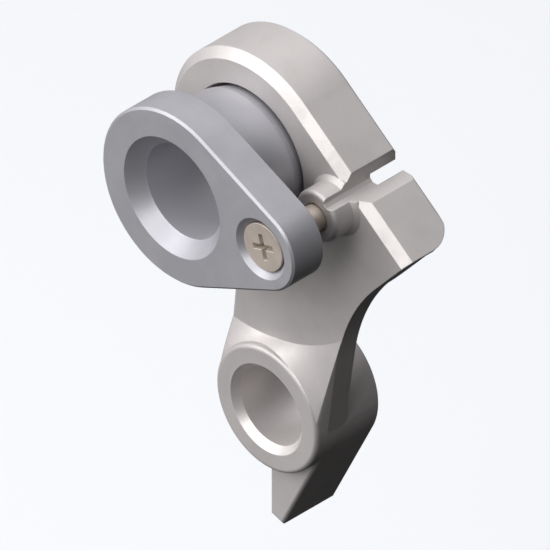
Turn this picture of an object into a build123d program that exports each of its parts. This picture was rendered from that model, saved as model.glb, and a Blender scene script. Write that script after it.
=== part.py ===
from build123d import *
import os
from math import asin, atan2, cos, degrees, hypot, radians, sin, tan

# A derailleur hanger for a 12 mm through axle, with its axle nut and locking screw.
# Origin: on the axle axis, in the hanger's outboard face, which meets the frame.
# X points forward, Z up, and Y inboard, towards the wheel. Sizes are in millimetres.

# Ring round the axle, and the straight side that runs from it to the tip of the wing.
ring_r = 11.85
side_slope = 37.4
wing_reach = 19.95
hanger_depth = 7.4
edge_chamfer = 1.0
back_chamfer = 0.35
chamfer_end_angle = 242.0

# Seat of the hub's end cap, open towards the lower right, where the wheel comes in.
rim_wall = 1.15
web_depth = 3.7
rim_end_r = 3.4

# Arm from the ring down to the eye.
wing_end_slope = 48.8
arm_right_x = 13.5
arm_left_x = -2.0
arm_inset = 0.05
arm_mark_z = -17.0
neck_r = 23.0
arm_root_r = 4.0
arm_depth = 2.5
arm_edge_r = 0.5
arm_step_drop = 1.15
arm_step_slope = 14.0
arm_step_r = 1.0

# Eye for the derailleur's mounting bolt.
eye_x = 4.2
eye_z = -29.4
eye_r = 7.4
eye_rise = 1.6
eye_edge_r = 0.5
eye_thread_r = 4.5
eye_bevel = 0.72
turned_r = 21.66
blend_right_angle = 3.0
blend_left_angle = 190.0

# Stop below the eye for the derailleur's tension screw.
stop_left_x = 3.2
stop_tip_x = 5.0
stop_tip_z = -44.4
stop_heel_z = -43.8
stop_edge_r = 0.4

# Locking screw and its split boss.
screw_x = 12.9
boss_r = 3.0
boss_rise = 3.1
boss_edge_r = 0.5
boss_root = 0.5
screw_thread_r = 1.5
boss_mouth_r = 1.7
notch_x = 14.1
notch_z = 1.85
notch_floor = 0.4

# Axle nut. Its plate lies outboard of the frame and its barrel reaches the hanger.
dropout_gap = 6.8
plate_depth = 4.35
plate_r = 10.25
plate_ear_r = 4.85
plate_edge = 0.25
barrel_r = 8.05
barrel_short = 1.1
cone_angle = 16.0
cone_length = 4.1
cone_gap = 0.35
axle_thread_r = 5.5
axle_bevel = 1.5
barrel_end_bevel = 0.4

# Locking screw's head, drive and shank.
countersink_r = 3.53
head_r = 2.76
head_lip = 0.3
head_gap = 0.05
shank_gap = 0.15
thread_gap = 0.05
drive_span = 3.0
drive_width = 0.62
drive_depth = 1.1
drive_turn = 17.0
drive_taper = 8.0
screw_end_bevel = 0.35


def depth(y, at=(0, 0)):
    """A drawing plane facing outboard, y inboard of the frame face, centred at (x, z)."""
    return Plane(origin=(at[0], y, at[1]), x_dir=(1, 0, 0), z_dir=(0, -1, 0))


def along(distance, height):
    """A point given along the straight side and out from the axle, square to it."""
    a = radians(side_slope)
    return (distance * cos(a) + height * sin(a), -distance * sin(a) + height * cos(a))


def touch(point, centre, radius, turn):
    """Where the line from a point touches a circle, on the side that turn gives."""
    dx = point[0] - centre[0]
    dz = point[1] - centre[1]
    reach = hypot(dx, dz)
    angle = atan2(dz, dx) + turn * (radians(90) - asin(radius / reach))
    return (centre[0] + radius * cos(angle), centre[1] + radius * sin(angle))


def crossing(p, p_angle, q, q_angle):
    """Where two lines cross, each given by a point and its angle in degrees."""
    ax, az = cos(radians(p_angle)), sin(radians(p_angle))
    bx, bz = cos(radians(q_angle)), sin(radians(q_angle))
    t = ((q[0] - p[0]) * bz - (q[1] - p[1]) * bx) / (ax * bz - az * bx)
    return (p[0] + t * ax, p[1] + t * az)


def edge_at(part, point, y):
    """The edge of a part that passes through a point, given as (x, z) and a depth."""
    return part.edges().sort_by_distance((point[0], y, point[1]))[0]


axle = (0, 0)
hub_seat_r = ring_r - rim_wall
arm_step_z = -ring_r - arm_step_drop
eye = (eye_x, eye_z)
eye_face = -eye_rise
side_start = along(0, ring_r)
wing_tip = along(wing_reach, ring_r)
# The sides of the arm run just inside the round of the eye, and end on it.
arm_right_low = touch((arm_right_x, arm_mark_z), eye, eye_r - arm_inset, -1)
arm_left_low = touch((arm_left_x, arm_mark_z), eye, eye_r - arm_inset, 1)
right_lean = degrees(atan2(arm_mark_z - arm_right_low[1], arm_right_x - arm_right_low[0]))
left_lean = degrees(atan2(arm_mark_z - arm_left_low[1], arm_left_x - arm_left_low[0]))
neck = crossing(wing_tip, wing_end_slope, arm_right_low, right_lean)
arm_left_top = crossing(arm_left_low, left_lean, (0, -ring_r / 2), 0)


stop_right = touch((stop_tip_x, stop_tip_z), eye, eye_r, 1)
cone_slope = tan(radians(cone_angle))
seat_r = barrel_r - barrel_short * cone_slope + cone_gap / cos(radians(cone_angle))
side_run = (cos(radians(side_slope)), 0, -sin(radians(side_slope)))
side_normal = (sin(radians(side_slope)), 0, cos(radians(side_slope)))
side_section = Plane(origin=(0, 0, 0), x_dir=side_normal, z_dir=-Vector(side_run))
side_view = Plane(origin=(0, 0, 0), x_dir=side_run, z_dir=side_normal)
outboard_axis = Axis((0, 0, 0), (0, -1, 0))
far = wing_reach + 2 * ring_r + hypot(eye_x, eye_z)


# The outline of ring, wing, arm and eye, seen from outboard.
with BuildSketch(depth(0)) as outline:
    Circle(ring_r)
    Polygon(axle, side_start, wing_tip, neck, arm_right_low, eye,
            arm_left_low, arm_left_top, align=None)
    with Locations(eye):
        Circle(eye_r)
    fillet(vertices().sort_by_distance(neck)[0], neck_r)
    fillet(vertices().sort_by_distance((arm_left_x, -ring_r))[0], arm_root_r)


# The blend that rises from the flat turned round the axle to the rounded edge of the eye.
# Straight lines join the two, and a narrow strip closes it along the right of the arm.
turn_start = degrees(atan2(arm_mark_z, arm_left_x)) - 8
turn_end = degrees(atan2(arm_mark_z, arm_right_x)) + 0.5
right_angle = degrees(atan2(arm_right_low[1] - eye_z, arm_right_low[0] - eye_x))
blend_top = eye_edge_r / 8 - eye_rise
eye_top = depth(blend_top, eye)
arm_left_mid = ((arm_left_x + arm_left_low[0]) / 2, (arm_mark_z + arm_left_low[1]) / 2)
flat_end = depth(0) * CenterArc(axle, turned_r, turn_start, turn_end - turn_start)
eye_end = eye_top * CenterArc((0, 0), eye_r - eye_edge_r, blend_left_angle,
                              blend_right_angle - blend_left_angle)
right_side = Line(flat_end @ 1, depth(0).from_local_coords(arm_right_low))
eye_side = eye_top * CenterArc((0, 0), eye_r - eye_edge_r, blend_right_angle,
                               right_angle - blend_right_angle)
blend_face = Face.make_surface_from_curves(flat_end.edge(), eye_end.edge())
strip_face = Face.make_surface_from_curves(right_side.edge(), eye_side.edge())
with BuildPart() as blend:
    extrude(blend_face, amount=eye_rise + arm_edge_r, dir=(0, 1, 0))
    extrude(strip_face, amount=eye_rise + arm_edge_r, dir=(0, 1, 0))
    extrude(outline.sketch, amount=2 * eye_rise, both=True, mode=Mode.INTERSECT)
    fillet(edge_at(blend, arm_left_mid, -eye_rise / 2), arm_edge_r)


# The eye itself, with its rounded edge.
with BuildPart() as eye_block:
    with BuildSketch(depth(eye_face, eye)):
        Circle(eye_r)
    extrude(amount=-hanger_depth - eye_rise)
    fillet(eye_block.faces().sort_by(Axis.Y)[0].edges(), eye_edge_r)


# The stop below the eye, with its front edges rounded.
with BuildPart() as stop:
    with BuildSketch(depth(0)):
        Polygon((stop_left_x, eye_z), (stop_left_x, stop_heel_z), (stop_tip_x, stop_tip_z),
                stop_right, eye, align=None)
    extrude(amount=-hanger_depth)
    fillet([edge_at(stop, (stop_left_x, stop_heel_z + eye_r / 2), 0),
            edge_at(stop, ((stop_left_x + stop_tip_x) / 2, (stop_heel_z + stop_tip_z) / 2), 0),
            edge_at(stop, ((stop_right[0] + stop_tip_x) / 2, (stop_right[1] + stop_tip_z) / 2), 0)
            ], stop_edge_r)


# The right-angled notch, with a small flat at its floor, that runs through boss and wing.
with BuildPart() as notch:
    with BuildSketch(depth(-boss_rise - 1)):
        Polygon((notch_x, notch_z + notch_floor), (notch_x + notch_floor, notch_z),
                (notch_x + far, notch_z), (notch_x + far, notch_z + far),
                (notch_x, notch_z + far), align=None)
    extrude(amount=-hanger_depth - boss_rise - 2)


# The boss for the locking screw, turned with a rounded edge and a flared root.
with BuildPart() as boss:
    with BuildSketch(Plane(origin=(screw_x, 0, 0), x_dir=(1, 0, 0), z_dir=(0, 0, 1))):
        with BuildLine():
            Polyline((boss_r, boss_edge_r - boss_rise), (boss_r, -boss_root),
                     (boss_r + boss_root, 0), (boss_r + boss_root, edge_chamfer),
                     (0, edge_chamfer), (0, -boss_rise), (boss_r - boss_edge_r, -boss_rise))
            CenterArc((boss_r - boss_edge_r, boss_edge_r - boss_rise), boss_edge_r, 270, 90)
        make_face()
    revolve(axis=Axis((screw_x, 0, 0), (0, 1, 0)))
    add(notch.part, mode=Mode.SUBTRACT)


with BuildPart() as hanger:
    # The whole outline at the full depth of the rim, with the long edge cut at 45 degrees.
    extrude(outline.sketch, amount=-hanger_depth)
    with BuildSketch(side_section) as edge_cut:
        Polygon((ring_r - edge_chamfer, 0), (ring_r, edge_chamfer),
                (ring_r + edge_chamfer, 0), (ring_r, -edge_chamfer), align=None)
    extrude(edge_cut.sketch, amount=-far, mode=Mode.SUBTRACT)
    revolve(edge_cut.sketch, axis=outboard_axis,
            revolution_arc=chamfer_end_angle - 90 + side_slope, mode=Mode.SUBTRACT)

    # The back edges of the ring and the wing are broken.
    chamfer([edge_at(hanger, (-ring_r, 0), hanger_depth),
             edge_at(hanger, along(wing_reach / 2, ring_r), hanger_depth),
             edge_at(hanger, along(wing_reach, ring_r - 2), hanger_depth)], back_chamfer)

    # The front edges of the arm and of the wing's end are rounded.
    fillet(edge_at(hanger, (arm_left_x, arm_mark_z), 0), arm_edge_r)

    # The open seat of the hub's end cap, behind the web.
    with BuildSketch(depth(web_depth)):
        Circle(hub_seat_r)
        Polygon(along(0, hub_seat_r), along(far, hub_seat_r), along(far, -far), along(0, -far),
                align=None)
    extrude(amount=-hanger_depth, mode=Mode.SUBTRACT)

    # The arm below the ring is thinner than the web.
    rise = tan(radians(arm_step_slope)) * far
    with BuildSketch(depth(arm_depth)):
        Polygon((-far, arm_step_z - rise), (far, arm_step_z + rise), (far, -far), (-far, -far),
                align=None)
    extrude(amount=-hanger_depth, mode=Mode.SUBTRACT)
    fillet(edge_at(hanger, (0, arm_step_z), web_depth), arm_step_r)

    # The rim ends in quarter rounds, at the tip of the wing and at the lower left.
    for end, side in ((wing_reach, 1), (0, -1)):
        with BuildSketch(side_view.offset(side * (hub_seat_r - 1))):
            with Locations((end - rim_end_r / 2 + 1, hanger_depth - rim_end_r / 2 + 1)):
                Rectangle(rim_end_r + 2, rim_end_r + 2)
            with Locations((end - rim_end_r, hanger_depth - rim_end_r)):
                Circle(rim_end_r, mode=Mode.SUBTRACT)
        extrude(amount=side * 3, mode=Mode.SUBTRACT)

    # The eye, its blend and the stop below it.
    add(stop.part)
    add(blend.part)
    add(eye_block.part)

    # The notch, and the boss that it splits.
    add(notch.part, mode=Mode.SUBTRACT)
    add(boss.part)

    # Seat for the nut's cone, threaded hole for the screw and threaded eye.
    with BuildSketch(depth(0)):
        Circle(seat_r)
    extrude(amount=-web_depth, taper=cone_angle, mode=Mode.SUBTRACT)
    with Locations(depth(-boss_rise, (screw_x, 0))):
        CounterSinkHole(screw_thread_r + thread_gap, boss_mouth_r, boss_rise + web_depth)
    with Locations(depth(eye_face, eye)):
        CounterSinkHole(eye_thread_r, eye_thread_r + eye_bevel, hanger_depth + eye_rise)


plate_back = -dropout_gap
plate_face = plate_back - plate_depth
cone_end = cone_length - barrel_short
with BuildPart() as axle_nut:
    # A teardrop plate whose ear carries the locking screw.
    with BuildSketch(depth(plate_back)):
        Circle(plate_r)
        with Locations((screw_x, 0)):
            Circle(plate_ear_r)
        make_hull()
    extrude(amount=plate_depth)
    chamfer(axle_nut.faces().sort_by(Axis.Y)[0].edges(), plate_edge)

    # The barrel passes through the frame, and its cone centres the hanger.
    with BuildSketch(depth(plate_back)):
        Circle(barrel_r)
    extrude(amount=plate_back + barrel_short)
    with BuildSketch(depth(-barrel_short)):
        Circle(barrel_r)
    extrude(amount=-cone_length, taper=cone_angle)
    chamfer(axle_nut.faces().sort_by(Axis.Y)[-1].edges(), barrel_end_bevel)

    # Threaded for the axle, and countersunk for the locking screw.
    with Locations(depth(plate_face)):
        CounterSinkHole(axle_thread_r, axle_thread_r + axle_bevel, cone_end - plate_face)
    with Locations(depth(plate_face, (screw_x, 0))):
        CounterSinkHole(screw_thread_r + shank_gap, countersink_r, plate_depth)


head_face = plate_face + countersink_r - head_r - head_lip - head_gap * 2 ** 0.5
head_end = head_face + head_lip + head_r - screw_thread_r
screw_end = web_depth - screw_end_bevel
with BuildPart() as screw:
    # A countersunk screw, turned about its own axis.
    with BuildSketch(Plane(origin=(screw_x, 0, 0), x_dir=(1, 0, 0), z_dir=(0, 0, 1))):
        Polygon((0, head_face), (head_r, head_face), (head_r, head_face + head_lip),
                (screw_thread_r, head_end), (screw_thread_r, screw_end - screw_end_bevel),
                (screw_thread_r - screw_end_bevel, screw_end), (0, screw_end), align=None)
    revolve(axis=Axis((screw_x, 0, 0), (0, 1, 0)))

    # Its cross drive.
    with BuildSketch(depth(head_face, (screw_x, 0))):
        Rectangle(drive_span, drive_width, rotation=drive_turn)
        Rectangle(drive_width, drive_span, rotation=drive_turn)
    extrude(amount=-drive_depth, taper=drive_taper, mode=Mode.SUBTRACT)


if __name__ == "__main__":
    os.makedirs("parts", exist_ok=True)
    hanger.part.label = "hanger"
    export_step(hanger.part, "parts/hanger.step")
    axle_nut.part.label = "axle_nut"
    export_step(axle_nut.part, "parts/axle_nut.step")
    screw.part.label = "screw"
    export_step(screw.part, "parts/screw.step")
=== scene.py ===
import math

import bpy
from bpy.props import FloatProperty, FloatVectorProperty, PointerProperty
from bpy.types import NodeSocket, Operator, Panel, PropertyGroup
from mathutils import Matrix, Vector


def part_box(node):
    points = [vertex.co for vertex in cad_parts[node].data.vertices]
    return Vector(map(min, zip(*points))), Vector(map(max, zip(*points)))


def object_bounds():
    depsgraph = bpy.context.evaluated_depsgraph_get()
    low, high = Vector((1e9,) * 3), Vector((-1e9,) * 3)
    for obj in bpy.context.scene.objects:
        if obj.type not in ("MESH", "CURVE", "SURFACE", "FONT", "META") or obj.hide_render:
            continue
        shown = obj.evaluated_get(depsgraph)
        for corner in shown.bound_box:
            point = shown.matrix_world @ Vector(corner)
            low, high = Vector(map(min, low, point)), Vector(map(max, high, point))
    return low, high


bl_info = {
    "name": "Derailleur Hanger",
    "version": (1, 0, 0),
    "blender": (4, 5, 0),
    "location": "3D View > Sidebar > Hanger",
    "description": "Metal finishes, lights and camera for a through-axle derailleur hanger",
    "category": "Object",
}

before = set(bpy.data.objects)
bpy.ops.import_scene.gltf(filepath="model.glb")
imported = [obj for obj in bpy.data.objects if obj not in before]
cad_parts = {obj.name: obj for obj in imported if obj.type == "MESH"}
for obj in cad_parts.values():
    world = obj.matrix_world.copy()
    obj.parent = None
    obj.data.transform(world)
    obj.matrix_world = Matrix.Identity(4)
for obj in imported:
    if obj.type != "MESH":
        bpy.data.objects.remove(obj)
cad_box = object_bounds()

MM = 0.001

# The axes that the turned places lie about, all along Y, as (x, z).
screw_low, screw_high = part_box("screw")
AXLE_AXIS = (0.0, 0.0)
SCREW_AXIS = ((screw_low.x + screw_high.x) / 2, (screw_low.z + screw_high.z) / 2)
EYE_AXIS = (4.2 * MM, -29.4 * MM)

# How far from its axis the brighter colour reaches, partly cut metal and partly painted light
# that lifts the shade: over the eye's bevel, and in the nut's bore alone. The blur is half the
# width in which it ends.
EYE_CUT_AND_LIGHT_R = 5.3 * MM
NUT_BORE_R = 5.53 * MM
CUT_BLUR = 0.05 * MM

# The blasted skin: how round its dimples are, their share beside the fine noise, and the
# parts of the noise that run from no effect to the full one.
DIMPLE_SMOOTHNESS = 0.6
DIMPLE_SHARE = 0.5
SPECKLE_RANGE = (0.32, 0.68)
CLOUD_RANGE = (0.35, 0.65)

# The turned rings: how far the tool goes on along a wall while it would cross a face, how
# often per metre and by how many rings they waver, and the groove's share beside the streaks.
WALL_TRAVEL = 0.9
WAVER_SCALE = 350.0
WAVER_RINGS = 1.4
GROOVE_SHARE = 0.25
STREAK_RANGE = (0.3, 0.7)

# The rubbed edges, brightened partly as wear and partly as a painted highlight: how far the
# rounded normal has turned from the true one, as 1 less the cosine, and how often per metre
# the brightening is patchy, down to its least share.
EDGE_SAMPLES = 6
EDGE_RANGE = (0.01, 0.2)
PATCH_SCALE = 900.0
PATCH_RANGE = (0.3, 0.6)
PATCH_LEAST = 0.6

# The dust: its broad smears and its fine spots per metre.
SMEAR_SCALE = 140.0
SPOT_SCALE = 1300.0
FILM_RANGE = (0.2, 0.42)

# The studio's soft screens: the direction of each one's middle, and its brightness there. It
# falls off with a power of the cosine, and the room adds a little from everywhere.
SCREENS = (
    ((-1, -1, 1), 1.45),
    ((0, 0, 1), 1.7),
    ((0, -1, 1), 0.4),
    ((-1, -1, 0), 0.55),
    ((-0.6, 1, 0.2), 0.6),
)
SCREEN_FOCUS = 4.0
ROOM_LIGHT = 0.012

# The lamps: where each one stands, seen from the hanger, the side of its softbox and its
# distance, in metres.
KEY_DIRECTION = (-0.50, -0.66, 0.56)
KEY_SIZE = 0.32
BEVEL_DIRECTION = (0.263, -0.807, 0.521)
BEVEL_SIZE = 0.16
LAMP_DISTANCE = 0.5

# The floor: half its side in metres, its blotches per metre and how much lighter they are, its
# paint, and the faint light of its own.
FLOOR_HALF = 3.0
BLOTCH_SCALE = 6.0
BLOTCH_LIFT = 1.02
FLOOR_ROUGHNESS = 0.9
FLOOR_SHINE = 0.1
FLOOR_GLOW_COLOUR = (0.97, 0.98, 1.0, 1.0)
FLOOR_GLOW = 0.12

# The picture is centred right of and below a point on the axle, by the nut's outboard face.
NUT_POINT = Vector((0, -11.13 * MM, 0))
PICTURE_RIGHT = 10.64 * MM
PICTURE_DOWN = 7.95 * MM
CAMERA_DISTANCE = 0.5
CAMERA_NEAR = 0.01
CAMERA_FAR = 10.0


class HangerFinish(PropertyGroup):
    """Bead-blasted aluminium of the hanger."""

    colour: FloatVectorProperty(
        name="Colour", description="Base colour of the blasted aluminium",
        default=(0.61, 0.578, 0.571), subtype="COLOR", min=0, max=1)
    shade: FloatVectorProperty(
        name="Shade", description="Colour of the slightly darker clouds in the finish",
        default=(0.555, 0.526, 0.519), subtype="COLOR", min=0, max=1)
    # Partly cut metal, partly painted light that lifts the shade in the eye and on its bevel.
    bore: FloatVectorProperty(
        name="Bore", description="Colour of the freshly cut metal inside the eye",
        default=(0.70, 0.664, 0.656), subtype="COLOR", min=0, max=1)
    # The edge colour is partly edge wear and partly a painted highlight.
    rubbed_and_highlit: FloatVectorProperty(
        name="Rubbed", description="Colour of the metal where edges are rubbed bright",
        default=(0.86, 0.845, 0.84), subtype="COLOR", min=0, max=1)
    metal: FloatProperty(
        name="Metal", description="How much the skin reflects as bare metal does",
        default=0.5, min=0, max=1)
    roughness: FloatProperty(
        name="Roughness", description="Roughness of the blasted skin",
        default=0.46, min=0, max=1)
    dust: FloatProperty(
        name="Dust", description="How much dust and handling dull the shine",
        default=0.35, min=0, max=1)
    clouds: FloatProperty(
        name="Clouds", description="Width of the clouds in the finish",
        default=7 * MM, min=0, unit="LENGTH")
    grain: FloatProperty(
        name="Grain", description="Width of the dimples that blasting leaves",
        default=0.22 * MM, min=0, unit="LENGTH")
    speckle: FloatProperty(
        name="Speckle", description="How much the grain darkens the colour",
        default=0.10, min=0, max=1)
    cut: FloatProperty(
        name="Cut", description="Distance between the rings that boring leaves in the eye",
        default=0.18 * MM, min=0, unit="LENGTH")
    edge: FloatProperty(
        name="Edge", description="Radius of the soft light along the edges",
        default=0.12 * MM, min=0, unit="LENGTH")
    # How strongly the wear and the painted highlight brighten the edges.
    polish_and_highlight: FloatProperty(
        name="Edge polish", description="How much brighter the rubbed edges are",
        default=0.5, min=0, max=1)


class NutFinish(PropertyGroup):
    """Turned and anodised aluminium of the axle nut."""

    colour: FloatVectorProperty(
        name="Colour", description="Base colour of the anodised aluminium",
        default=(0.445, 0.44, 0.473), subtype="COLOR", min=0, max=1)
    shade: FloatVectorProperty(
        name="Shade", description="Colour of the slightly darker clouds in the finish",
        default=(0.405, 0.40, 0.432), subtype="COLOR", min=0, max=1)
    # Partly turned metal, partly painted light that lifts the shade in the bore.
    bore: FloatVectorProperty(
        name="Bore", description="Colour of the brighter turned metal inside the bore",
        default=(0.52, 0.513, 0.552), subtype="COLOR", min=0, max=1)
    # The edge colour is partly edge wear and partly a painted highlight.
    rubbed_and_highlit: FloatVectorProperty(
        name="Rubbed", description="Colour of the metal where edges are rubbed bright",
        default=(0.80, 0.795, 0.83), subtype="COLOR", min=0, max=1)
    metal: FloatProperty(
        name="Metal", description="How much the skin reflects as bare metal does",
        default=0.48, min=0, max=1)
    roughness: FloatProperty(
        name="Roughness", description="Roughness of the anodised skin",
        default=0.43, min=0, max=1)
    dust: FloatProperty(
        name="Dust", description="How much dust and handling dull the shine",
        default=0.3, min=0, max=1)
    clouds: FloatProperty(
        name="Clouds", description="Width of the clouds in the finish",
        default=5 * MM, min=0, unit="LENGTH")
    grain: FloatProperty(
        name="Grain", description="Width of the fine dimples under the anodised skin",
        default=0.16 * MM, min=0, unit="LENGTH")
    cut: FloatProperty(
        name="Cut", description="Distance between the rings that turning leaves",
        default=0.16 * MM, min=0, unit="LENGTH")
    rings: FloatProperty(
        name="Rings", description="How much the turned rings darken the colour",
        default=0.16, min=0, max=1)
    edge: FloatProperty(
        name="Edge", description="Radius of the soft light along the edges",
        default=0.08 * MM, min=0, unit="LENGTH")
    # How strongly the wear and the painted highlight brighten the edges.
    polish_and_highlight: FloatProperty(
        name="Edge polish", description="How much brighter the rubbed edges are",
        default=0.45, min=0, max=1)


class ScrewFinish(PropertyGroup):
    """Turned steel of the locking screw."""

    colour: FloatVectorProperty(
        name="Colour", description="Base colour of the warm steel",
        default=(0.67, 0.587, 0.515), subtype="COLOR", min=0, max=1)
    shade: FloatVectorProperty(
        name="Shade", description="Colour of the darker clouds in the warm tint",
        default=(0.59, 0.515, 0.45), subtype="COLOR", min=0, max=1)
    # The edge colour is partly edge wear and partly a painted highlight.
    rubbed_and_highlit: FloatVectorProperty(
        name="Rubbed", description="Colour of the metal where edges are rubbed bright",
        default=(0.85, 0.80, 0.74), subtype="COLOR", min=0, max=1)
    metal: FloatProperty(
        name="Metal", description="How much the skin reflects as bare metal does",
        default=0.62, min=0, max=1)
    roughness: FloatProperty(
        name="Roughness", description="Roughness of the screw",
        default=0.42, min=0, max=1)
    dust: FloatProperty(
        name="Dust", description="How much dust and handling dull the shine",
        default=0.3, min=0, max=1)
    clouds: FloatProperty(
        name="Clouds", description="Width of the clouds in the tint",
        default=2 * MM, min=0, unit="LENGTH")
    cut: FloatProperty(
        name="Cut", description="Distance between the rings that turning leaves",
        default=0.11 * MM, min=0, unit="LENGTH")
    rings: FloatProperty(
        name="Rings", description="How much the turned rings darken the colour",
        default=0.3, min=0, max=1)
    edge: FloatProperty(
        name="Edge", description="Radius of the soft light along the edges",
        default=0.12 * MM, min=0, unit="LENGTH")
    # How strongly the wear and the painted highlight brighten the edges.
    polish_and_highlight: FloatProperty(
        name="Edge polish", description="How much brighter the rubbed edges are",
        default=0.5, min=0, max=1)


class StudioSetup(PropertyGroup):
    """Floor, lights and camera."""

    azimuth: FloatProperty(
        name="Azimuth", description="Camera's turn about the upright axis, from the front",
        default=math.radians(45), subtype="ANGLE")
    elevation: FloatProperty(
        name="Elevation", description="Camera's height above the level",
        default=math.atan(1 / math.sqrt(2)), subtype="ANGLE")
    width: FloatProperty(
        name="Width", description="Width of the picture, measured at the hanger",
        default=56.8 * MM, min=0, unit="LENGTH")
    floor_drop: FloatProperty(
        name="Floor drop", description="Height of the hanger's tip above the floor",
        default=60 * MM, min=0, unit="LENGTH")
    floor_colour: FloatVectorProperty(
        name="Floor", description="Colour of the floor",
        default=(0.625, 0.637, 0.662), subtype="COLOR", min=0, max=1)
    key: FloatProperty(
        name="Key", description="Power of the large light in front, above and to the left",
        default=0.8, min=0, unit="POWER")
    fill: FloatProperty(
        name="Fill", description="Power of the light in front of the bevelled edge",
        default=0.7, min=0, unit="POWER")


# ---------------------------------------------------------------- node helpers


def socket(group, name, default=None, kind="Float"):
    """Adds one named socket to a node group: an input where it has a default."""
    made = group.interface.new_socket(
        name=name, in_out="OUTPUT" if default is None else "INPUT",
        socket_type="NodeSocket" + kind)
    if default is not None:
        made.default_value = default


def new_group(name):
    """An empty shader node group with its input and output nodes."""
    group = bpy.data.node_groups.new(name, "ShaderNodeTree")
    inside = group.nodes.new("NodeGroupInput")
    outside = group.nodes.new("NodeGroupOutput")
    return group, inside, outside


def put(tree, where, value):
    """Gives an input a socket to follow or a plain value."""
    if isinstance(value, NodeSocket):
        tree.links.new(value, where)
    else:
        where.default_value = value


def maths(tree, kind, *values, clamp=False):
    """A Math node, its inputs given in order; gives its output socket."""
    node = tree.nodes.new("ShaderNodeMath")
    node.operation = kind
    node.use_clamp = clamp
    for where, value in zip(node.inputs, values):
        put(tree, where, value)
    return node.outputs[0]


def dot(tree, first, second):
    """The dot product of two vectors, each a socket or a plain vector."""
    node = tree.nodes.new("ShaderNodeVectorMath")
    node.operation = "DOT_PRODUCT"
    put(tree, node.inputs[0], first)
    put(tree, node.inputs[1], second)
    return node.outputs["Value"]


def own_point(tree):
    """The point that is being shaded, in metres, in the object's own frame."""
    return tree.nodes.new("ShaderNodeTexCoord").outputs["Object"]


def noise(tree, point, scale, detail, rough=0.5):
    """A Noise node at a point; its scale may be a socket or a number."""
    node = tree.nodes.new("ShaderNodeTexNoise")
    node.inputs["Detail"].default_value = detail
    node.inputs["Roughness"].default_value = rough
    put(tree, node.inputs["Vector"], point)
    put(tree, node.inputs["Scale"], scale)
    return node.outputs["Fac"]


def spread(tree, value, limits, least=0.0):
    """A soft ramp from the least value up to 1 as a value goes from one limit to the other."""
    node = tree.nodes.new("ShaderNodeMapRange")
    node.interpolation_type = "SMOOTHSTEP"
    node.inputs["From Min"].default_value = limits[0]
    node.inputs["From Max"].default_value = limits[1]
    node.inputs["To Min"].default_value = least
    put(tree, node.inputs["Value"], value)
    return node.outputs["Result"]


# ---------------------------------------------------------------- shared effects


def blasted_grain():
    """Fine dimples of bead blasting, with slow clouds of tone."""
    group, inside, outside = new_group("Blasted Grain")
    socket(group, "Size", 0.2 * MM)
    socket(group, "Cloud Size", 6 * MM)
    socket(group, "Height")
    socket(group, "Speckle")
    socket(group, "Clouds")
    point = own_point(group)
    fine_scale = maths(group, "DIVIDE", 1.0, inside.outputs["Size"])
    cloud_scale = maths(group, "DIVIDE", 1.0, inside.outputs["Cloud Size"])
    dimples = group.nodes.new("ShaderNodeTexVoronoi")
    dimples.feature = "SMOOTH_F1"
    dimples.inputs["Smoothness"].default_value = DIMPLE_SMOOTHNESS
    put(group, dimples.inputs["Vector"], point)
    put(group, dimples.inputs["Scale"], fine_scale)
    fine = noise(group, point, fine_scale, detail=4.0, rough=0.6)
    clouds = noise(group, point, cloud_scale, detail=3.0, rough=0.55)
    height = maths(group, "MULTIPLY_ADD", dimples.outputs["Distance"], DIMPLE_SHARE, fine)
    put(group, outside.inputs["Height"], height)
    put(group, outside.inputs["Speckle"], spread(group, fine, SPECKLE_RANGE))
    put(group, outside.inputs["Clouds"], spread(group, clouds, CLOUD_RANGE))
    return group


def turned_rings():
    """Rings left by a tool about an axis along Y, their streaks, and a mask up to a radius."""
    group, inside, outside = new_group("Turned Rings")
    socket(group, "Centre X", 0.0)
    socket(group, "Centre Z", 0.0)
    socket(group, "Pitch", 0.15 * MM)
    socket(group, "Radius", 6 * MM)
    socket(group, "Height")
    socket(group, "Rings")
    socket(group, "Inside")
    point = own_point(group)
    parts = group.nodes.new("ShaderNodeSeparateXYZ")
    put(group, parts.inputs[0], point)
    across = maths(group, "SUBTRACT", parts.outputs["X"], inside.outputs["Centre X"])
    up = maths(group, "SUBTRACT", parts.outputs["Z"], inside.outputs["Centre Z"])
    squared = maths(group, "ADD", maths(group, "MULTIPLY", across, across),
                    maths(group, "MULTIPLY", up, up))
    radius = maths(group, "SQRT", squared)
    travel = maths(group, "MULTIPLY_ADD", parts.outputs["Y"], WALL_TRAVEL, radius)
    turns = maths(group, "DIVIDE", travel, inside.outputs["Pitch"])
    waver = noise(group, point, WAVER_SCALE, detail=2.0)
    bent = maths(group, "MULTIPLY_ADD", waver, WAVER_RINGS, turns)
    line = group.nodes.new("ShaderNodeCombineXYZ")
    put(group, line.inputs["X"], bent)
    streaks = noise(group, line.outputs[0], 1.0, detail=3.0, rough=0.7)
    groove = maths(group, "SINE", maths(group, "MULTIPLY", bent, math.tau))
    height = maths(group, "MULTIPLY_ADD", groove, GROOVE_SHARE, streaks)
    near = maths(group, "SUBTRACT", inside.outputs["Radius"], radius)
    put(group, outside.inputs["Height"], height)
    put(group, outside.inputs["Rings"], spread(group, streaks, STREAK_RANGE))
    put(group, outside.inputs["Inside"], spread(group, near, (-CUT_BLUR, CUT_BLUR)))
    return group


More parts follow.
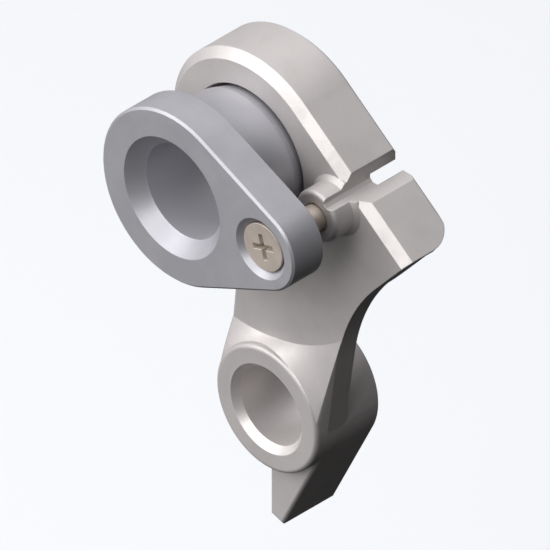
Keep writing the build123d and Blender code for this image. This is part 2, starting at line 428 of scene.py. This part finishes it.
def edge_light():
    """Edges made bright, partly as wear from handling and partly as a painted highlight: a
    mask, and a normal that rounds them.
    """
    group, inside, outside = new_group("Edge Light")
    socket(group, "Radius", 0.2 * MM)
    socket(group, "Wear", 0.5)
    socket(group, "Mask")
    socket(group, "Normal", kind="Vector")
    rounded = group.nodes.new("ShaderNodeBevel")
    rounded.samples = EDGE_SAMPLES
    put(group, rounded.inputs["Radius"], inside.outputs["Radius"])
    shape = group.nodes.new("ShaderNodeNewGeometry")
    agree = dot(group, rounded.outputs[0], shape.outputs["Normal"])
    line = spread(group, maths(group, "SUBTRACT", 1.0, agree), EDGE_RANGE)
    patches = noise(group, own_point(group), PATCH_SCALE, detail=4.0, rough=0.6)
    patchy = maths(group, "MULTIPLY", line, spread(group, patches, PATCH_RANGE, PATCH_LEAST))
    worn_and_highlit = maths(group, "MULTIPLY", patchy, inside.outputs["Wear"], clamp=True)
    put(group, outside.inputs["Mask"], worn_and_highlit)
    put(group, outside.inputs["Normal"], rounded.outputs[0])
    return group


def light_dust():
    """A thin film of handling marks and dust that dulls the shine in places."""
    group, inside, outside = new_group("Light Dust")
    socket(group, "Amount", 0.4)
    socket(group, "Film")
    point = own_point(group)
    smears = noise(group, point, SMEAR_SCALE, detail=4.0, rough=0.6)
    spots = noise(group, point, SPOT_SCALE, detail=3.0, rough=0.65)
    film = spread(group, maths(group, "MULTIPLY", smears, spots), FILM_RANGE)
    put(group, outside.inputs["Film"],
        maths(group, "MULTIPLY", film, inside.outputs["Amount"], clamp=True))
    return group


EFFECTS = {
    "Blasted Grain": blasted_grain,
    "Turned Rings": turned_rings,
    "Edge Light": edge_light,
    "Light Dust": light_dust,
}


def place(tree, name, **values):
    """Puts a shared effect in a material; it is built the first time it is asked for."""
    node = tree.nodes.new("ShaderNodeGroup")
    node.node_tree = bpy.data.node_groups.get(name) or EFFECTS[name]()
    for key, value in values.items():
        node.inputs[key.replace("_", " ")].default_value = value
    return node.outputs


def blank_material(name):
    """A material that holds only its output and its shader."""
    material = bpy.data.materials.new(name)
    material.use_nodes = True
    tree = material.node_tree
    tree.nodes.clear()
    shader = tree.nodes.new("ShaderNodeBsdfPrincipled")
    output = tree.nodes.new("ShaderNodeOutputMaterial")
    tree.links.new(shader.outputs["BSDF"], output.inputs["Surface"])
    return material, tree, shader


def blend_colour(tree, factor, first, second):
    """Mixes two colours by a mask; each may be a socket or a plain colour."""
    node = tree.nodes.new("ShaderNodeMix")
    node.data_type = "RGBA"
    places = [i for i in node.inputs if i.type == "RGBA"]
    for where, colour in zip(places, (first, second)):
        put(tree, where, colour if isinstance(colour, NodeSocket) else (*colour, 1.0))
    put(tree, node.inputs["Factor"], factor)
    return [o for o in node.outputs if o.type == "RGBA"][0]


def darker(colour, share):
    """A colour at a share of its brightness."""
    return [v * share for v in colour]


def added(tree, start, layers):
    """A starting value with masks added to it, each layer given as (mask, amount)."""
    for mask, amount in layers:
        start = maths(tree, "MULTIPLY_ADD", mask, amount, start)
    return start


def raised(tree, normal, layers):
    """Stacks Bump nodes on a normal, each layer given as (height, distance, strength)."""
    for height, distance, strength in layers:
        node = tree.nodes.new("ShaderNodeBump")
        node.inputs["Distance"].default_value = distance
        node.inputs["Strength"].default_value = strength
        put(tree, node.inputs["Height"], height)
        put(tree, node.inputs["Normal"], normal)
        normal = node.outputs["Normal"]
    return normal


# ---------------------------------------------------------------- finishes


def blasted_aluminium(values):
    """The hanger's finish: blasted outside, and turned in the eye."""
    material, tree, metal = blank_material("blasted_aluminium")
    grain = place(tree, "Blasted Grain", Size=values.grain, Cloud_Size=values.clouds)
    edge = place(tree, "Edge Light", Radius=values.edge, Wear=values.polish_and_highlight)
    dust = place(tree, "Light Dust", Amount=values.dust)
    eye = place(tree, "Turned Rings", Centre_X=EYE_AXIS[0], Centre_Z=EYE_AXIS[1],
                Pitch=values.cut, Radius=EYE_CUT_AND_LIGHT_R)
    clouds = blend_colour(tree, grain["Clouds"], values.colour, values.shade)
    speckled = blend_colour(tree, maths(tree, "MULTIPLY", grain["Speckle"], values.speckle),
                            clouds, darker(values.shade, 0.8))
    # Brighter colour in the eye and on its bevel: partly cut metal, partly painted light.
    cut = blend_colour(tree, eye["Inside"], speckled, values.bore)
    # Brightens the edges: partly edge wear, partly a painted highlight.
    rubbed_and_highlit = blend_colour(tree, edge["Mask"], cut, values.rubbed_and_highlit)
    put(tree, metal.inputs["Base Color"], rubbed_and_highlit)
    metal.inputs["Metallic"].default_value = values.metal
    put(tree, metal.inputs["Roughness"], added(tree, values.roughness, (
        (dust["Film"], 0.14),
        (grain["Speckle"], 0.05),
        (edge["Mask"], -0.12),
        (eye["Inside"], -0.08),
    )))
    put(tree, metal.inputs["Normal"], raised(tree, edge["Normal"], (
        (maths(tree, "MULTIPLY", eye["Height"], eye["Inside"]), 0.006 * MM, 0.5),
        (grain["Height"], 0.008 * MM, 0.35),
    )))
    return material


def anodised_aluminium(values):
    """The axle nut's finish: turned about the axle, with a cooler grey skin."""
    material, tree, metal = blank_material("anodised_aluminium")
    grain = place(tree, "Blasted Grain", Size=values.grain, Cloud_Size=values.clouds)
    edge = place(tree, "Edge Light", Radius=values.edge, Wear=values.polish_and_highlight)
    dust = place(tree, "Light Dust", Amount=values.dust)
    axle = place(tree, "Turned Rings", Centre_X=AXLE_AXIS[0], Centre_Z=AXLE_AXIS[1],
                 Pitch=values.cut, Radius=NUT_BORE_R)
    clouds = blend_colour(tree, grain["Clouds"], values.colour, values.shade)
    ringed = blend_colour(tree, maths(tree, "MULTIPLY", axle["Rings"], values.rings),
                          clouds, darker(values.shade, 0.82))
    # Brighter colour in the bore: partly turned metal, partly painted light that lifts its
    # shade.
    cut = blend_colour(tree, axle["Inside"], ringed, values.bore)
    # Brightens the edges: partly edge wear, partly a painted highlight.
    rubbed_and_highlit = blend_colour(tree, edge["Mask"], cut, values.rubbed_and_highlit)
    put(tree, metal.inputs["Base Color"], rubbed_and_highlit)
    metal.inputs["Metallic"].default_value = values.metal
    put(tree, metal.inputs["Roughness"], added(tree, values.roughness, (
        (dust["Film"], 0.12),
        (axle["Rings"], 0.05),
        (edge["Mask"], -0.1),
    )))
    put(tree, metal.inputs["Normal"], raised(tree, edge["Normal"], (
        (axle["Height"], 0.004 * MM, 0.35),
        (grain["Height"], 0.005 * MM, 0.25),
    )))
    return material


def warm_steel(values):
    """The screw's finish: turned steel with a warm, slightly cloudy tint."""
    material, tree, metal = blank_material("warm_steel")
    grain = place(tree, "Blasted Grain", Cloud_Size=values.clouds)
    edge = place(tree, "Edge Light", Radius=values.edge, Wear=values.polish_and_highlight)
    dust = place(tree, "Light Dust", Amount=values.dust)
    turned = place(tree, "Turned Rings", Centre_X=SCREW_AXIS[0], Centre_Z=SCREW_AXIS[1],
                   Pitch=values.cut)
    tint = blend_colour(tree, grain["Clouds"], values.colour, values.shade)
    ringed = blend_colour(tree, maths(tree, "MULTIPLY", turned["Rings"], values.rings),
                          tint, darker(values.shade, 0.8))
    # Brightens the edges: partly edge wear, partly a painted highlight.
    rubbed_and_highlit = blend_colour(tree, edge["Mask"], ringed, values.rubbed_and_highlit)
    put(tree, metal.inputs["Base Color"], rubbed_and_highlit)
    metal.inputs["Metallic"].default_value = values.metal
    put(tree, metal.inputs["Roughness"], added(tree, values.roughness, (
        (dust["Film"], 0.12),
        (turned["Rings"], 0.08),
    )))
    put(tree, metal.inputs["Normal"], raised(tree, edge["Normal"], (
        (turned["Height"], 0.005 * MM, 0.45),
    )))
    return material


def dress(node, material):
    """Gives a CAD piece its finish, in every slot that it has."""
    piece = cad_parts[node]
    if not piece.material_slots:
        piece.data.materials.append(material)
    for slot in piece.material_slots:
        slot.material = material


# ---------------------------------------------------------------- stage


def toward(azimuth, elevation):
    """The direction towards a camera; azimuth turns from the front towards +X."""
    return Vector((math.cos(elevation) * math.sin(azimuth),
                   -math.cos(elevation) * math.cos(azimuth),
                   math.sin(elevation)))


def lamp(name, direction, size, power):
    """A square white softbox that faces the hanger's middle."""
    data = bpy.data.lights.new(name, "AREA")
    data.shape = "SQUARE"
    data.size = size
    data.energy = power
    light = bpy.data.objects.new(name, data)
    direction = Vector(direction).normalized()
    low, high = cad_box
    middle = (Vector(low) + Vector(high)) / 2
    light.location = middle + direction * LAMP_DISTANCE
    light.rotation_euler = direction.to_track_quat("Z", "Y").to_euler()
    bpy.context.scene.collection.objects.link(light)


def soft_sky():
    """Soft light from the studio's screens, brightest in front, above and to the left."""
    world = bpy.data.worlds.new("soft_sky")
    world.use_nodes = True
    tree = world.node_tree
    tree.nodes.clear()
    point = tree.nodes.new("ShaderNodeTexCoord").outputs["Generated"]
    total = ROOM_LIGHT
    for direction, strength in SCREENS:
        facing = dot(tree, point, Vector(direction).normalized())
        ahead = maths(tree, "MAXIMUM", facing, 0.0)
        glow = maths(tree, "POWER", ahead, SCREEN_FOCUS)
        total = maths(tree, "MULTIPLY_ADD", glow, strength, total)
    sky = tree.nodes.new("ShaderNodeBackground")
    put(tree, sky.inputs["Color"], total)
    output = tree.nodes.new("ShaderNodeOutputWorld")
    tree.links.new(sky.outputs["Background"], output.inputs["Surface"])
    bpy.context.scene.world = world


def floor_paint(colour):
    """Plain pale paint for the floor, with the faintest unevenness."""
    material, tree, paint = blank_material("pale_floor")
    uneven = noise(tree, own_point(tree), BLOTCH_SCALE, detail=2.0)
    tint = blend_colour(tree, uneven, colour, [min(1.0, v * BLOTCH_LIFT) for v in colour])
    put(tree, paint.inputs["Base Color"], tint)
    paint.inputs["Roughness"].default_value = FLOOR_ROUGHNESS
    paint.inputs["Specular IOR Level"].default_value = FLOOR_SHINE
    paint.inputs["Emission Color"].default_value = FLOOR_GLOW_COLOUR
    paint.inputs["Emission Strength"].default_value = FLOOR_GLOW
    return material


def lay_floor(values):
    """A plain pale floor, far below, that sends no light back to the metal."""
    mesh = bpy.data.meshes.new("floor")
    corners = ((-1, -1), (1, -1), (1, 1), (-1, 1))
    mesh.from_pydata([(x * FLOOR_HALF, y * FLOOR_HALF, 0) for x, y in corners],
                     [], [(0, 1, 2, 3)])
    mesh.materials.append(floor_paint(values.floor_colour))
    floor = bpy.data.objects.new("floor", mesh)
    floor.location = (0, 0, Vector(cad_box[0]).z - values.floor_drop)
    floor.visible_glossy = False
    floor.visible_diffuse = False
    bpy.context.scene.collection.objects.link(floor)


def set_camera(values):
    """A camera without perspective, at the photograph's viewing angle."""
    data = bpy.data.cameras.new("camera")
    data.type = "ORTHO"
    data.ortho_scale = values.width
    data.clip_start = CAMERA_NEAR
    data.clip_end = CAMERA_FAR
    camera = bpy.data.objects.new("camera", data)
    back = toward(values.azimuth, values.elevation)
    right = Vector((math.cos(values.azimuth), math.sin(values.azimuth), 0))
    up = back.cross(right)
    centre = NUT_POINT + right * PICTURE_RIGHT - up * PICTURE_DOWN
    camera.location = centre + back * CAMERA_DISTANCE
    camera.rotation_euler = back.to_track_quat("Z", "Y").to_euler()
    bpy.context.scene.collection.objects.link(camera)
    bpy.context.scene.camera = camera
    bpy.context.scene.view_settings.view_transform = "Standard"


# ---------------------------------------------------------------- operators


class HANGER_OT_finish_hanger(Operator):
    """Gives the hanger its blasted aluminium"""

    bl_idname = "hanger.finish_hanger"
    bl_label = "Finish Hanger"

    def execute(self, context):
        dress("hanger", blasted_aluminium(context.scene.hanger_finish))
        return {"FINISHED"}


class HANGER_OT_finish_nut(Operator):
    """Gives the axle nut its anodised aluminium"""

    bl_idname = "hanger.finish_nut"
    bl_label = "Finish Axle Nut"

    def execute(self, context):
        dress("axle_nut", anodised_aluminium(context.scene.nut_finish))
        return {"FINISHED"}


class HANGER_OT_finish_screw(Operator):
    """Gives the locking screw its warm steel"""

    bl_idname = "hanger.finish_screw"
    bl_label = "Finish Screw"

    def execute(self, context):
        dress("screw", warm_steel(context.scene.screw_finish))
        return {"FINISHED"}


class HANGER_OT_set_stage(Operator):
    """Makes the floor, the lights and the camera"""

    bl_idname = "hanger.set_stage"
    bl_label = "Set Stage"

    def execute(self, context):
        setup = context.scene.studio_setup
        lay_floor(setup)
        soft_sky()
        lamp("key_light", KEY_DIRECTION, KEY_SIZE, setup.key)
        lamp("bevel_light", BEVEL_DIRECTION, BEVEL_SIZE, setup.fill)
        set_camera(setup)
        return {"FINISHED"}


class HANGER_PT_sidebar(Panel):
    """Finishes and stage of the hanger"""

    bl_idname = "HANGER_PT_sidebar"
    bl_label = "Derailleur Hanger"
    bl_space_type = "VIEW_3D"
    bl_region_type = "UI"
    bl_category = "Hanger"

    def draw(self, context):
        for name, kind in GROUPS.items():
            box = self.layout.box()
            values = getattr(context.scene, name)
            for prop in kind.__annotations__:
                box.prop(values, prop)
        for operator in OPERATORS:
            self.layout.operator(operator.bl_idname)


GROUPS = {
    "hanger_finish": HangerFinish,
    "nut_finish": NutFinish,
    "screw_finish": ScrewFinish,
    "studio_setup": StudioSetup,
}
OPERATORS = (
    HANGER_OT_finish_hanger,
    HANGER_OT_finish_nut,
    HANGER_OT_finish_screw,
    HANGER_OT_set_stage,
)


def register():
    for kind in GROUPS.values():
        bpy.utils.register_class(kind)
    for name, kind in GROUPS.items():
        setattr(bpy.types.Scene, name, PointerProperty(type=kind))
    for kind in OPERATORS:
        bpy.utils.register_class(kind)
    bpy.utils.register_class(HANGER_PT_sidebar)


def unregister():
    bpy.utils.unregister_class(HANGER_PT_sidebar)
    for kind in reversed(OPERATORS):
        bpy.utils.unregister_class(kind)
    for name in GROUPS:
        delattr(bpy.types.Scene, name)
    for kind in reversed(list(GROUPS.values())):
        bpy.utils.unregister_class(kind)


def main():
    register()
    bpy.ops.hanger.finish_hanger()
    bpy.ops.hanger.finish_nut()
    bpy.ops.hanger.finish_screw()
    bpy.ops.hanger.set_stage()


if __name__ == "__main__":
    main()
